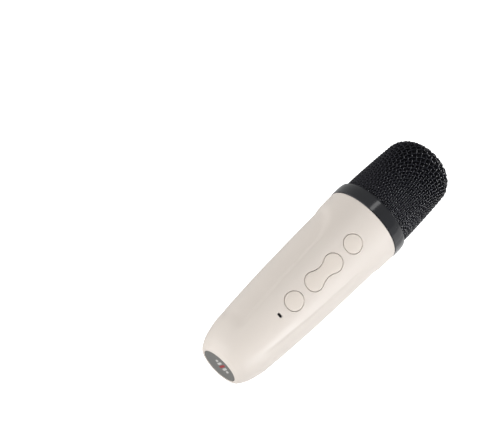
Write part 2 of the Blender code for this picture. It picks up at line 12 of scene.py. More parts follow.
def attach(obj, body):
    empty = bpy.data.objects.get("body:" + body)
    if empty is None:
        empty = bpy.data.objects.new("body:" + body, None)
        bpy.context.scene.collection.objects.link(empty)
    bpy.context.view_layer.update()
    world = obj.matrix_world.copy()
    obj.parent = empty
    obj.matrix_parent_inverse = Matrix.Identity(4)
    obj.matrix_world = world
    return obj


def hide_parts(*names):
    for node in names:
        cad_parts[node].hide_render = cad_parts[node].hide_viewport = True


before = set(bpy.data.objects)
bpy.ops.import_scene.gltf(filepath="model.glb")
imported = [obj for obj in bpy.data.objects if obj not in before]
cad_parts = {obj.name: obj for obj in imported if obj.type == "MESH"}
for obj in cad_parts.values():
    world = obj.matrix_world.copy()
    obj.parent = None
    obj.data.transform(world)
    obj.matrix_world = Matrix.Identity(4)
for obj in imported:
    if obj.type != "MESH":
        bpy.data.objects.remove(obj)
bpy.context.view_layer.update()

MM = 0.001
rng = np.random.default_rng(7)
scene = bpy.context.scene

# ------------------------------------------------------------------ sizes, mm, as in the CAD
CREST = [(0.0, 9.9), (0.35, 10.6), (1.1, 11.3), (2.6, 12.25), (5.0, 13.45), (10.0, 14.8), (15.0, 15.75),
         (22.0, 16.65), (31.0, 17.4), (42.0, 18.05), (55.0, 18.6), (70.0, 19.05), (84.0, 19.3), (94.1, 19.5)]
PANEL = [(9.0, 15.2), (15.0, 15.45), (22.0, 16.15), (31.0, 16.75), (42.0, 17.4), (55.0, 17.9), (70.0, 18.37),
         (88.0, 18.75)]
CAVITY = [(3.0, 9.8), (5.0, 11.2), (9.0, 12.6), (16.0, 14.1), (30.0, 15.2), (50.0, 16.2), (70.0, 16.8), (86.0, 17.2),
          (94.1, 17.2)]
SHELL_TOP = 94.1
ARCH_TOP, ARCH_RISE, ARCH_POWER = 84.0, 19.0, 2.6
ARCH_WIDTH = [(8.0, 12.9), (20.0, 13.9), (35.0, 14.4), (65.0, 14.7)]
LABEL_R, POCKET_R, POCKET_DEPTH, FLOOR = 8.74, 9.0, 0.9, 3.0
KEY_R, KEY_WAIST, KEY_LOBE = 4.4, 2.85, 6.1
KEY_GAP = 0.27
TOP_Z, ROCKER_Z, BOTTOM_Z, LED_Z, USB_Z = 77.4, 58.5, 39.6, 30.4, 22.0
COLLAR = [(94.4, 19.5), (94.6, 19.68), (98.0, 19.7), (100.2, 19.55), (100.9, 19.38), (101.3, 19.0)]
COLLAR_SEAT_R = 18.42
GRILLE = [(100.1, 18.12), (106.0, 18.08), (112.0, 17.9), (118.0, 17.63), (124.0, 17.33), (130.0, 16.95)]
DOME_START, DOME_R, HEAD_TOP, DOME_POWER = 130.0, 16.95, 142.4, 2.3
FOAM_START = 104.4


# ------------------------------------------------------------------ small maths
def pchip(stations):
    """Monotone cubic through (height, value) stations, as a function of arrays."""
    x = np.array([s[0] for s in stations], float)
    y = np.array([s[1] for s in stations], float)
    h = np.diff(x)
    d = np.diff(y) / h
    m = np.zeros(len(x))
    for i in range(1, len(x) - 1):
        if d[i - 1] * d[i] > 0:
            w1, w2 = 2 * h[i] + h[i - 1], h[i] + 2 * h[i - 1]
            m[i] = (w1 + w2) / (w1 / d[i - 1] + w2 / d[i])
    m[0], m[-1] = d[0], d[-1]

    def f(q):
        q = np.clip(np.asarray(q, float), x[0], x[-1])
        i = np.clip(np.searchsorted(x, q) - 1, 0, len(h) - 1)
        t = (q - x[i]) / h[i]
        return ((2 * t ** 3 - 3 * t ** 2 + 1) * y[i] + (t ** 3 - 2 * t ** 2 + t) * h[i] * m[i]
                + (-2 * t ** 3 + 3 * t ** 2) * y[i + 1] + (t ** 3 - t ** 2) * h[i] * m[i + 1])
    return f


crest, panel, cavity, arch_half = pchip(CREST), pchip(PANEL), pchip(CAVITY), pchip(ARCH_WIDTH)


def smooth(t):
    t = np.clip(t, 0.0, 1.0)
    return t * t * t * (t * (6 * t - 15) + 10)


def handle_radius(phi, z):
    """Outer radius of the handle; phi is measured from -Y, towards +X."""
    phi, z = np.broadcast_arrays(np.asarray(phi, float), np.asarray(z, float))
    rc = crest(z)
    y = np.maximum(np.abs(rc * np.cos(phi)), 1e-6)
    foot = ARCH_TOP - ARCH_RISE
    half = arch_half(np.minimum(z, foot))
    h = np.maximum(z - foot, 0.0) / ARCH_RISE
    f = ((y / half) ** ARCH_POWER + h ** ARCH_POWER) ** (1.0 / ARCH_POWER)
    slope = np.hypot((y / half / f) ** (ARCH_POWER - 1) / half, (h / f) ** (ARCH_POWER - 1) / ARCH_RISE)
    blend = 1.8 + 4.4 * smooth((z - 66.0) / 14.0)
    side = smooth(((1.0 - f) / slope + blend / 2) / blend)
    depth = np.maximum(rc - panel(np.clip(z, 9.0, 88.0)), 0.0) * smooth((z - 9.0) / 12.0)
    return rc - depth * side


def point(phi, z, r):
    return np.stack([r * np.sin(phi), -r * np.cos(phi), z * np.ones_like(r)], -1)


def arc(cx, cy, r, a0, a1, n):
    a = np.radians(a0 + (a1 - a0) * np.arange(n + 1) / n)
    return list(zip(cx + r * np.cos(a), cy + r * np.sin(a)))


def lobed(r, waist, cz, n=20, lobe=KEY_LOBE):
    rho = (waist * waist + lobe * lobe - r * r) / (2 * (r - waist))
    far = waist + rho
    a = math.degrees(math.atan2(lobe, far))
    right = arc(far, 0, rho, 180 + a, 180 - a, n)
    top = arc(0, lobe, r, -a, 180 + a, 2 * n)
    left = [(-x, y) for x, y in reversed(right[1:-1])]
    bottom = arc(0, -lobe, r, 180 - a, 360 + a, 2 * n)
    return np.array([(x, cz + y) for x, y in right[:-1] + top + left + bottom[:-1]])


def ring(r, cz, n=96):
    a = 2 * np.pi * np.arange(n) / n
    return np.stack([r * np.cos(a), cz + r * np.sin(a)], -1)


def stadium(hw, hh, cz, n=12):
    s = hw - hh
    return np.array([(x, cz + y) for x, y in arc(s, 0, hh, -90, 90, n) + arc(-s, 0, hh, 90, 270, n)])


def inside(poly, pts):
    """Which points lie inside a closed outline."""
    x, y = pts[:, 0], pts[:, 1]
    res = np.zeros(len(pts), bool)
    px, py = poly[:, 0], poly[:, 1]
    qx, qy = np.roll(px, -1), np.roll(py, -1)
    for a, b, c, d in zip(px, py, qx, qy):
        hit = (b > y) != (d > y)
        with np.errstate(divide="ignore", invalid="ignore"):
            res ^= hit & (x < (c - a) * (y - b) / (d - b) + a)
    return res


class Builder:
    """Collects vertices and faces, then welds them into one mesh object."""

    def __init__(self):
        self.v, self.f, self.n = [], [], 0

    def add(self, verts, faces):
        base = self.n
        verts = np.asarray(verts, float).reshape(-1, 3)
        self.v.append(verts)
        self.f += [tuple(base + i for i in f) for f in faces]
        self.n += len(verts)
        return base

    def loops(self, rings, close=True):
        """Quads between successive rings of equal length."""
        m = len(rings[0])
        base = self.add(np.concatenate([np.asarray(r, float) for r in rings]), [])
        for k in range(len(rings) - 1):
            for i in range(m if close else m - 1):
                j = (i + 1) % m
                self.f.append((base + k * m + i, base + k * m + j, base + (k + 1) * m + j, base + (k + 1) * m + i))

    def make(self, name, weld=0.0005, smooth_angle=40.0, outward=True):
        bm = bmesh.new()
        verts = [bm.verts.new(Vector(p) * MM) for p in np.concatenate(self.v)]
        for f in self.f:
            try:
                bm.faces.new([verts[i] for i in f])
            except ValueError:
                pass
        bmesh.ops.remove_doubles(bm, verts=bm.verts, dist=weld * MM)
        bmesh.ops.dissolve_degenerate(bm, dist=weld * MM * 0.2, edges=bm.edges)
        loose = [v for v in bm.verts if not v.link_faces]
        bmesh.ops.delete(bm, geom=loose, context="VERTS")
        if outward:
            bmesh.ops.recalc_face_normals(bm, faces=bm.faces)
        mesh = bpy.data.meshes.new(name)
        bm.to_mesh(mesh)
        bm.free()
        obj = bpy.data.objects.new(name, mesh)
        scene.collection.objects.link(obj)
        mesh.shade_smooth()
        mesh.set_sharp_from_angle(angle=math.radians(smooth_angle))
        return obj


def cdt(points, loops, holes, keep=None):
    """Triangles of a flat region: points is an array, loops are index lists of closed constraint outlines, holes are outlines whose inside is left out."""
    edges = [(l[i], l[(i + 1) % len(l)]) for l in loops for i in range(len(l))]
    out = delaunay_2d_cdt([Vector(p) for p in points], edges, [], 0, 1e-7)
    verts = np.array([tuple(v) for v in out[0]])
    tris = np.array([f for f in out[2] if len(f) == 3])
    cen = verts[tris].mean(1)
    ok = np.ones(len(tris), bool)
    for h in holes:
        ok &= ~inside(h, cen)
    if keep is not None:
        ok &= inside(keep, cen)
    return verts, tris[ok]


# ------------------------------------------------------------------ materials


class Mat:
    """Small helper round a Principled material."""

    def __init__(self, name, rough, metallic=0.0, **sockets):
        self.m = bpy.data.materials.new(name)
        self.m.use_nodes = True
        self.t = self.m.node_tree
        self.b = self.t.nodes["Principled BSDF"]
        self.b.inputs["Roughness"].default_value = rough
        self.b.inputs["Metallic"].default_value = metallic
        for k, v in sockets.items():
            self.b.inputs[k.replace("_", " ")].default_value = v
        self.co = self.t.nodes.new("ShaderNodeTexCoord").outputs["Object"]

    def link(self, a, b):
        self.t.links.new(a, b)

    def noise(self, scale, detail=4.0, rough=0.55, distort=0.0, stretch=None):
        n = self.t.nodes.new("ShaderNodeTexNoise")
        n.inputs["Scale"].default_value = scale
        n.inputs["Detail"].default_value = detail
        n.inputs["Roughness"].default_value = rough
        n.inputs["Distortion"].default_value = distort
        src = self.co
        if stretch:
            mp = self.t.nodes.new("ShaderNodeMapping")
            mp.inputs["Scale"].default_value = stretch
            self.link(self.co, mp.inputs["Vector"])
            src = mp.outputs["Vector"]
        self.link(src, n.inputs["Vector"])
        return n.outputs["Fac"]

    def voronoi(self, scale, feature="F1"):
        n = self.t.nodes.new("ShaderNodeTexVoronoi")
        n.feature = feature
        n.inputs["Scale"].default_value = scale
        self.link(self.co, n.inputs["Vector"])
        return n.outputs["Distance"]

    def low_down(self, top, bottom):
        """1 at the bottom height, 0 at the top height, both in metres."""
        n = self.t.nodes.new("ShaderNodeSeparateXYZ")
        self.link(self.co, n.inputs[0])
        return self.range(n.outputs["Z"], bottom, top, 1.0, 0.0)

    def ramp(self, fac, stops):
        r = self.t.nodes.new("ShaderNodeValToRGB")
        el = r.color_ramp.elements
        while len(el) < len(stops):
            el.new(0.5)
        for e, (p, c) in zip(el, stops):
            e.position = p
            e.color = (*c, 1.0)
        self.link(fac, r.inputs["Fac"])
        return r.outputs["Color"]

    def range(self, fac, a, b, lo, hi):
        r = self.t.nodes.new("ShaderNodeMapRange")
        for k, v in (("From Min", a), ("From Max", b), ("To Min", lo), ("To Max", hi)):
            r.inputs[k].default_value = v
        self.link(fac, r.inputs["Value"])
        return r.outputs["Result"]

    def mix(self, fac, a, b, mode="MIX"):
        n = self.t.nodes.new("ShaderNodeMix")
        n.data_type = "RGBA"
        n.blend_type = mode
        for s, v in ((n.inputs["Factor"], fac), (n.inputs["A"], a), (n.inputs["B"], b)):
            if isinstance(v, (int, float)):
                s.default_value = v
            elif isinstance(v, tuple):
                s.default_value = (*v, 1.0)
            else:
                self.link(v, s)
        return n.outputs["Result"]

    def colour(self, out):
        self.link(out, self.b.inputs["Base Color"])

    def roughness(self, out):
        self.link(out, self.b.inputs["Roughness"])

    def bump(self, height, strength, distance, under=None):
        n = self.t.nodes.new("ShaderNodeBump")
        n.inputs["Strength"].default_value = strength
        n.inputs["Distance"].default_value = distance
        self.link(height, n.inputs["Height"])
        if under is not None:
            self.link(under, n.inputs["Normal"])
        self.link(n.outputs["Normal"], self.b.inputs["Normal"])
        return n.outputs["Normal"]


def scaled(c, k):
    return tuple(min(1.0, x * k) for x in c)


def moulded(name, colour, rough=0.4, vary=0.03, grain=2600.0, grain_depth=0.000012, **kw):
    """Moulded plastic: slight colour drift, fine spark grain, roughness that wanders."""
    m = Mat(name, rough, **kw)
    drift = m.noise(28.0, 3.0)
    fine = m.noise(grain, 2.0, 0.6)
    m.colour(m.ramp(drift, [(0.3, scaled(colour, 1 - vary)), (0.7, scaled(colour, 1 + vary))]))
    m.roughness(m.range(m.noise(160.0, 5.0), 0.3, 0.7, rough - 0.04, rough + 0.05))
    under = m.bump(m.noise(60.0, 2.0), 0.12, 0.00005)
    m.bump(fine, 0.35, grain_depth, under)
    return m.m


def metal(name, colour, rough=0.3, brushed=(1.0, 1.0, 18.0)):
    m = Mat(name, rough, 1.0)
    lines = m.noise(900.0, 3.0, 0.6, stretch=brushed)
    m.colour(m.ramp(lines, [(0.3, scaled(colour, 0.85)), (0.7, scaled(colour, 1.08))]))
    m.roughness(m.range(lines, 0.3, 0.7, rough - 0.07, rough + 0.1))
    m.bump(lines, 0.25, 0.00001)
    return m.m


CREAM = (0.700, 0.640, 0.583)
KEYC = (0.706, 0.640, 0.573)
cream = moulded("cream_plastic", CREAM, 0.36, 0.012, 2400.0, 0.000010, Specular_IOR_Level=0.35)
key_plastic = moulded("key_plastic", KEYC, 0.40, 0.012, 2600.0, 0.000010, Specular_IOR_Level=0.35)


def collar_material():
    m = Mat("collar_gloss_black", 0.12, 0.0, Specular_IOR_Level=0.9, Coat_Weight=0.5, Coat_Roughness=0.06)
    drift = m.noise(70.0, 3.0)
    m.colour(m.ramp(drift, [(0.3, (0.003, 0.0036, 0.006)), (0.7, (0.006, 0.007, 0.010))]))
    scratches = m.noise(420.0, 6.0, 0.7, stretch=(1.0, 1.0, 9.0))
    m.roughness(m.range(scratches, 0.35, 0.75, 0.10, 0.20))
    m.bump(m.noise(240.0, 2.0), 0.05, 0.00003)
    return m.m


def wire_material():
    m = Mat("grille_wire_black", 0.24, 0.0, Specular_IOR_Level=0.6)
    spots = m.noise(900.0, 4.0)
    black = m.ramp(spots, [(0.35, (0.0056, 0.0056, 0.0090)), (0.62, (0.0095, 0.0095, 0.0140)), (0.85, (0.017, 0.017, 0.023))])
    # Painted light: the second ramp is a painted haze. The wire colour is mixed lighter towards the collar and stands
    # in for sheen.
    painted_haze = m.ramp(spots, [(0.35, (0.014, 0.014, 0.0185)), (0.62, (0.0185, 0.0185, 0.0240)), (0.85, (0.027, 0.027, 0.034))])
    m.colour(m.mix(m.low_down(0.126, 0.103), black, painted_haze))
    m.roughness(m.range(m.noise(1400.0, 3.0), 0.3, 0.7, 0.17, 0.30))
    m.bump(m.noise(5200.0, 3.0), 0.35, 0.00001)
    return m.m


def foam_material():
    m = Mat("foam_black", 0.95, 0.0, Specular_IOR_Level=0.1)
    pores = m.voronoi(1500.0)
    black = m.ramp(pores, [(0.0, (0.002, 0.002, 0.0026)), (0.45, (0.0058, 0.0058, 0.0072)), (1.0, (0.013, 0.013, 0.0155))])
    # Painted light: the second ramp is a painted haze. The foam colour is mixed lighter towards the collar and stands
    # in for sheen seen through the weave.
    painted_haze = m.ramp(pores, [(0.0, (0.016, 0.016, 0.0205)), (0.45, (0.030, 0.030, 0.0375)), (1.0, (0.055, 0.055, 0.065))])
    m.colour(m.mix(m.low_down(0.126, 0.104), black, painted_haze))
    m.bump(pores, 0.9, 0.0004)
    return m.m


collar_black, wire_black, foam_black = collar_material(), wire_material(), foam_material()


# ------------------------------------------------------------------ handle shell
def offset_rings(kind, cz, offs):
    """The outline of a key opening, pushed outward by each offset."""
    out = []
    for o in offs:
        if kind == "round":
            out.append(ring(KEY_R + o, cz))
        elif kind == "lobed":
            out.append(lobed(KEY_R + o, KEY_WAIST + o, cz))
        elif kind == "led":
            out.append(stadium(1.3 + o, 0.64 + o, cz))
        else:
            out.append(stadium(4.72 + o, 1.82 + o, cz))
    return out


LIP = 0.2
LIP_STEPS = [0.0, 0.025, 0.06, 0.11, 0.2, 0.4]


def lip_drop(o):
    return 0.0 if o >= LIP else LIP - math.sqrt(max(0.0, LIP * LIP - (LIP - o) ** 2))


PATCHES = [
    {"phi": (-0.42, 0.42), "z": (26.0, 86.0), "front": True,
     "holes": [("round", TOP_Z, KEY_GAP), ("lobed", ROCKER_Z, KEY_GAP), ("round", BOTTOM_Z, KEY_GAP), ("led", LED_Z, 0.0)]},
    {"phi": (math.pi - 0.5, math.pi + 0.5), "z": (16.0, 28.0), "front": False, "holes": [("usb", USB_Z, 0.0)]},
]
ZROWS = np.unique(np.round(np.concatenate([np.linspace(0.0, 2.6, 9), np.linspace(2.6, 16.0, 18), np.linspace(16, 28, 17),
                                           np.linspace(26, 86, 121), np.linspace(86, SHELL_TOP, 14)]), 5))
NPHI = 300
PHI = np.unique(np.round(np.concatenate([np.linspace(-0.42, 0.42, 41), np.linspace(0.42, math.pi - 0.5, 141),
                                         np.linspace(math.pi - 0.5, math.pi + 0.5, 41),
                                         np.linspace(math.pi + 0.5, 2 * math.pi - 0.42, 141)[:-1]]), 7))


def skin(build, radius, rows, lips, flip):
    """One skin of the handle with its openings left out. Returns the opening rings, in 3-D, by patch and hole."""
    rim = {}
    P, Z = np.meshgrid(PHI, rows)
    grid = point(P, Z, radius(P, Z))
    m = len(PHI)
    base = build.add(grid.reshape(-1, 3), [])
    for i in range(len(rows) - 1):
        zc = (rows[i] + rows[i + 1]) / 2
        for j in range(m):
            k = (j + 1) % m
            pa, pb = PHI[j], PHI[k] if k else PHI[0] + 2 * math.pi
            pc = (pa + pb) / 2
            if any(q["phi"][0] < pc < q["phi"][1] and q["z"][0] < zc < q["z"][1] for q in PATCHES):
                continue
            build.f.append((base + i * m + j, base + i * m + k, base + (i + 1) * m + k, base + (i + 1) * m + j))
    for q, patch in enumerate(PATCHES):
        ref = float(crest((patch["z"][0] + patch["z"][1]) / 2))
        pcs = PHI[(PHI >= patch["phi"][0] - 1e-6) & (PHI <= patch["phi"][1] + 1e-6)]
        zrs = rows[(rows >= patch["z"][0] - 1e-6) & (rows <= patch["z"][1] + 1e-6)]
        mid = 0.0 if patch["front"] else math.pi
        sgn = 1.0 if patch["front"] else -1.0
        border = ([(p, zrs[0]) for p in pcs] + [(pcs[-1], z) for z in zrs[1:]] + [(p, zrs[-1]) for p in pcs[-2::-1]]
                  + [(pcs[0], z) for z in zrs[-2:0:-1]])
        pts, drops, loops, holes, ring_sets = [], [], [], [], []
        for p, z in border:
            pts.append(((p - mid) * ref, z))
            drops.append(0.0)
        loops.append(list(range(len(border))))
        outer_lim = []
        for kind, cz, gap in patch["holes"]:
            rings = offset_rings(kind, cz, [gap + o for o in lips])
            first = None
            for o, rg in zip(lips, rings):
                start = len(pts)
                for x, z in rg:
                    zz = z
                    rr = float(radius(np.array(mid), np.array(zz)))
                    pts.append((math.asin(max(-1, min(1, x / rr))) * ref, zz))
                    drops.append(lip_drop(o) if len(lips) > 1 else 0.0)
                idx = list(range(start, len(pts)))
                loops.append(idx)
                if first is None:
                    first = idx
            ring_sets.append(first)
            holes.append(np.array([pts[i] for i in first]))
            outer_lim.append(np.array(offset_rings(kind, cz, [gap + lips[-1] + 0.35])[0]))
        gp, gz = np.meshgrid((pcs[1:-1] - mid) * ref, zrs[1:-1])
        inner = np.stack([gp.ravel(), gz.ravel()], -1)
        ok = np.ones(len(inner), bool)
        for h in outer_lim:
            ok &= ~inside(h, inner)
        inner = inner[ok]
        allp = np.concatenate([np.array(pts), inner])
        drops = np.concatenate([np.array(drops), np.zeros(len(inner))])
        verts, tris = cdt(allp, loops, holes)
        # the triangulation keeps the input order for its first points
        dd = np.zeros(len(verts))
        dd[:len(drops)] = drops[:len(verts)]
        ph = verts[:, 0] / ref + mid
        r3 = radius(ph, verts[:, 1]) - dd
        p3 = point(ph, verts[:, 1], r3)
        build.add(p3, [tuple(t) for t in tris])
        for (kind, cz, gap), first in zip(patch["holes"], ring_sets):
            rim[(q, kind, cz)] = p3[first]
    return rim


def build_shell():
    b = Builder()
    rows_in = np.unique(np.concatenate([ZROWS[ZROWS >= 3.0], [3.0]]))
    out = skin(b, handle_radius, ZROWS, LIP_STEPS, False)
    inn = skin(b, lambda p, z: cavity(z) + 0.0 * np.asarray(p), rows_in, [0.0], True)
    for key in out:
        steps = []
        for t in np.linspace(0, 1, 5):
            steps.append(out[key] * (1 - t) + inn[key] * t)
        b.loops(steps)
    # top shoulder, with a softened outer corner
    def circle(r, z):
        return point(PHI, np.full(len(PHI), z), np.full(len(PHI), r))
    top = SHELL_TOP
    b.loops([point(PHI, np.full(len(PHI), top), handle_radius(PHI, top)), circle(19.5, top + 0.1), circle(19.42, top + 0.18),
             circle(17.5, top + 0.18), circle(17.2, top)])
    # tail: flat ring, label pocket, screw hole
    b.loops([circle(9.9, 0.0), circle(9.5, 0.0), circle(9.12, 0.0), circle(9.03, 0.03), circle(POCKET_R, 0.12),
             circle(POCKET_R, POCKET_DEPTH), circle(5.0, POCKET_DEPTH), circle(2.9, POCKET_DEPTH), circle(2.9, 1.9),
             circle(1.5, 1.9), circle(1.5, FLOOR), circle(5.0, FLOOR), circle(9.8, FLOOR)])
    return b.make("handle_shell", smooth_angle=38.0)


shell = build_shell()
shell.data.materials.append(cream)
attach(shell, "handle")
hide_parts("body_shell")

# ------------------------------------------------------------------ keys


def key_piece(name, kind, cz, flange_front, flange_back, stems, body, nodes, proud=0.2):
    """Cap that follows the handle with a soft rim, its retaining flange and its stems, as one closed skin."""
    b = Builder()
    rim_r = 0.42
    steps = [0.0, 0.03, 0.08, 0.15, 0.25, 0.38, 0.6, 1.0, 1.5]
    base_kind = (lambda o: ring(KEY_R - o, cz)) if kind == "round" else (lambda o: lobed(KEY_R - o, KEY_WAIST - o, cz))
    pts, deep, loops = [], [], []
    for o in steps:
        start = len(pts)
        for x, z in base_kind(o):
            pts.append((x, z))
            edge = 0.0 if o >= rim_r else rim_r - math.sqrt(max(0.0, rim_r ** 2 - (rim_r - o) ** 2))
            deep.append(edge * 0.8 + 0.09 * (1 - smooth(o / 2.4)))
        loops.append(list(range(start, len(pts))))
    lim = base_kind(steps[-1] + 0.3)
    g = np.arange(-5, 5.01, 0.45)
    zz = np.arange(cz - 12, cz + 12.01, 0.45)
    gx, gz = np.meshgrid(g, zz)
    grid = np.stack([gx.ravel(), gz.ravel()], -1)
    grid = grid[inside(lim, grid)]
    allp = np.concatenate([np.array(pts), grid])
    verts, tris = cdt(allp, loops, [], keep=base_kind(0.0))
    d = np.zeros(len(verts))
    d[:len(deep)] = deep
    r = crest(verts[:, 1]) + proud - d
    y = -np.sqrt(np.maximum(r * r - verts[:, 0] ** 2, 0))
    top = np.stack([verts[:, 0], y, verts[:, 1]], -1)
    b.add(top, [tuple(t) for t in tris])
    edge = top[:len(loops[0])]
    n = len(edge)
    side_low = edge.copy()
    side_low[:, 1] = flange_front
    if kind == "round":
        fl = ring(5.2, cz)
    else:
        fl = lobed(5.0, KEY_WAIST + 0.6, cz)
    fl_front = np.stack([fl[:, 0], np.full(n, flange_front), fl[:, 1]], -1)
    fl_back = fl_front.copy()
    fl_back[:, 1] = flange_back
    mids = [edge * (1 - t) + side_low * t for t in np.linspace(0, 1, 4)]
    b.loops(mids + [fl_front, fl_back])
    # back of the flange with its stems
    bp, bl, holes = [tuple(p) for p in fl], [list(range(n))], []
    stem_rings = []
    for sr, sz, tip in stems:
        rg = ring(sr, sz, 24)
        s = len(bp)
        bp += [tuple(p) for p in rg]
        bl.append(list(range(s, len(bp))))
        holes.append(rg)
        stem_rings.append((rg, tip, sr, sz))
    v2, t2 = cdt(np.array(bp), bl, holes, keep=fl)
    b.add(np.stack([v2[:, 0], np.full(len(v2), flange_back), v2[:, 1]], -1), [tuple(t) for t in t2])
    for rg, tip, sr, sz in stem_rings:
        a = np.stack([rg[:, 0], np.full(24, flange_back), rg[:, 1]], -1)
        c = a.copy()
        c[:, 1] = tip - 0.15 if tip > flange_back else tip + 0.15
        small = ring(sr - 0.15, sz, 24)
        e = np.stack([small[:, 0], np.full(24, tip), small[:, 1]], -1)
        b.loops([a, c, e])
        b.add(e, [tuple(range(24))])
    obj = b.make(name, smooth_angle=50.0)
    obj.data.materials.append(key_plastic)
    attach(obj, body)
    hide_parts(*nodes)
    return obj


key_piece("key_upper", "round", TOP_Z, -15.7, -15.1, [(1.5, TOP_Z, -13.5)], "top_key", ["top_button"])
key_piece("key_lower", "round", BOTTOM_Z, -14.5, -13.9, [(1.5, BOTTOM_Z, -13.5)], "bottom_key", ["bottom_button"])
key_piece("key_volume", "lobed", ROCKER_Z, -14.5, -13.9,
          [(1.2, ROCKER_Z, -13.5), (1.5, ROCKER_Z + KEY_LOBE, -13.58), (1.5, ROCKER_Z - KEY_LOBE, -13.58)], "volume_key",
          ["volume_rocker"])


# ------------------------------------------------------------------ collar
def lathe(name, profile, steps, angle=30.0):
    """Turned closed section; profile is (radius, height) points of the outline, in order, closed."""
    a = 2 * np.pi * np.arange(steps) / steps
    b = Builder()
    rings = [np.stack([r * np.cos(a), r * np.sin(a), np.full(steps, z)], -1) for r, z in profile + profile[:1]]
    b.loops(rings)
    return b.make(name, smooth_angle=angle)


def softened(profile, radius=0.15, n=3):
    """Rounds the corners of a closed outline."""
    out = []
    m = len(profile)
    for i, p in enumerate(profile):
        a, c = np.array(profile[i - 1], float), np.array(profile[(i + 1) % m], float)
        p = np.array(p, float)
        u, v = a - p, c - p
        lu, lv = np.linalg.norm(u), np.linalg.norm(v)
        cosang = float(u @ v / (lu * lv))
        k = min(radius, lu * 0.4, lv * 0.4)
        if cosang < -0.985:
            out.append(tuple(p))
            continue
        s, e = p + u / lu * k, p + v / lv * k
        for t in np.linspace(0, 1, n + 1):
            out.append(tuple((1 - t) ** 2 * s + 2 * t * (1 - t) * p + t * t * e))
    return out


collar_line = pchip(COLLAR[1:5])
zs = np.linspace(94.6, 100.9, 20)
collar_outer = [(19.46, 94.4), (19.6, 94.47)] + [(float(collar_line(z)), float(z)) for z in zs]
collar_outer += [(19.0, 101.3)]
collar_profile = (list(reversed(collar_outer)) + softened([(17.95, 94.4), (17.95, 98.9), (15.9, 98.9), (15.9, 99.8),
                                                           (COLLAR_SEAT_R, 99.8)], 0.1)
                  + [(COLLAR_SEAT_R, 101.2), (COLLAR_SEAT_R + 0.1, 101.3)])
collar = lathe("collar", collar_profile, 224, 24.0)
collar.data.materials.append(collar_black)
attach(collar, "head")
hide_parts("collar_ring")


# ------------------------------------------------------------------ woven grille
def head_profile(inset):
    """(arc length, radius, height) along the head from its tip to the collar, set in from the CAD skin."""
    pts = []
    for i in range(120, 0, -1):
        a = math.pi / 2 * i / 120
        c, s = math.cos(a), math.sin(a)
        r = (DOME_R - inset) * max(0.0, c) ** (2.0 / DOME_POWER) if i < 120 else 0.0
        pts.append((r, DOME_START + (HEAD_TOP - inset - DOME_START) * s ** (2.0 / DOME_POWER)))
    line = pchip(GRILLE)
    for z in np.linspace(DOME_START, 100.3, 60):
        pts.append((float(line(z)) - inset, z))
    p = np.array(pts)
    s = np.concatenate([[0], np.cumsum(np.hypot(np.diff(p[:, 0]), np.diff(p[:, 1])))])
    return s, p[:, 0], p[:, 1]


def weave():
    """Plain-woven wire cloth drawn from a flat sheet over the head."""
    wire = 0.28
    lift = 0.3
    inset = wire + lift + 0.01
    s, r, z = head_profile(inset)
    r = r + 0.15 * smooth((DOME_START + 8.0 - z) / 10.0)
    # flat radius that lands at each arc length: the sheet is stretched along the axis and drawn in round it
    rho = [0.0]
    for i in range(1, len(s)):
        ratio = max(1.0, rho[-1] / max(r[i], 1e-3)) if s[i] > 6 else 1.0
        rho.append(rho[-1] + (s[i] - s[i - 1]) * (0.68 + 0.32 * float(smooth((s[i] - 16.0) / 14.0))) / ratio ** 0.35)
    rho = np.array(rho)
    limit = rho[-1]
    nr = np.gradient(z, s)
    nz = -np.gradient(r, s)
    nr, nz = -nr, -nz
    nn = np.hypot(nr, nz)
    nr, nz = nr / nn, nz / nn
    pitch = 1.85
    n = int(limit / pitch)
    sub = 6
    sides = 6
    b_v, b_f = [], []
    base = 0
    turn = math.radians(15.0)
    for family in (0, 1):
        for i in range(-n, n + 1):
            off = (i + 0.5) * pitch
            if abs(off) >= limit:
                continue
            half = math.sqrt(limit ** 2 - off ** 2)
            k0, k1 = int(math.ceil(-half / pitch * sub)), int(math.floor(half / pitch * sub))
            if k1 - k0 < 2 * sub:
                continue
            k = np.arange(k0, k1 + 1)
            u = k * pitch / sub
            x, y = (u, np.full(len(u), off)) if family == 0 else (np.full(len(u), off), u)
            fr = np.hypot(x, y)
            th = np.arctan2(y, x) + turn
            sr = np.interp(fr, rho, r)
            sz = np.interp(fr, rho, z)
            er, ez = np.interp(fr, rho, nr), np.interp(fr, rho, nz)
            # over and under: crossings lie at half-integer steps of the other family
            phase = np.cos(math.pi * (u / pitch - 0.5)) * (1 if i % 2 == 0 else -1) * (1 if family == 0 else -1)
            h = lift * phase
            c = np.stack([(sr + er * h) * np.cos(th), (sr + er * h) * np.sin(th), sz + ez * h], -1)
            nrm = np.stack([er * np.cos(th), er * np.sin(th), ez], -1)
            t = np.gradient(c, axis=0)
            t /= np.linalg.norm(t, axis=1)[:, None]
            side = np.cross(t, nrm)
            side /= np.linalg.norm(side, axis=1)[:, None]
            up = np.cross(side, t)
            a = 2 * np.pi * np.arange(sides) / sides
            ringv = (c[:, None, :] + wire * (np.cos(a)[None, :, None] * up[:, None, :]
                                             + np.sin(a)[None, :, None] * side[:, None, :]))
            m = len(c)
            b_v.append(ringv.reshape(-1, 3))
            idx = np.arange(m * sides).reshape(m, sides) + base
            q = np.stack([idx[:-1], np.roll(idx[:-1], -1, 1), np.roll(idx[1:], -1, 1), idx[1:]], -1).reshape(-1, 4)
            b_f.append(q)
            base += m * sides
    verts = np.concatenate(b_v) * MM
    faces = np.concatenate(b_f)
    mesh = bpy.data.meshes.new("grille_weave")
    mesh.vertices.add(len(verts))
    mesh.vertices.foreach_set("co", verts.ravel())
    mesh.loops.add(len(faces) * 4)
    mesh.loops.foreach_set("vertex_index", faces.ravel())
    mesh.polygons.add(len(faces))
    mesh.polygons.foreach_set("loop_start", np.arange(len(faces)) * 4)
    mesh.update(calc_edges=True)
    mesh.validate()
    mesh.shade_smooth()
    obj = bpy.data.objects.new("grille_weave", mesh)
    scene.collection.objects.link(obj)
    return obj


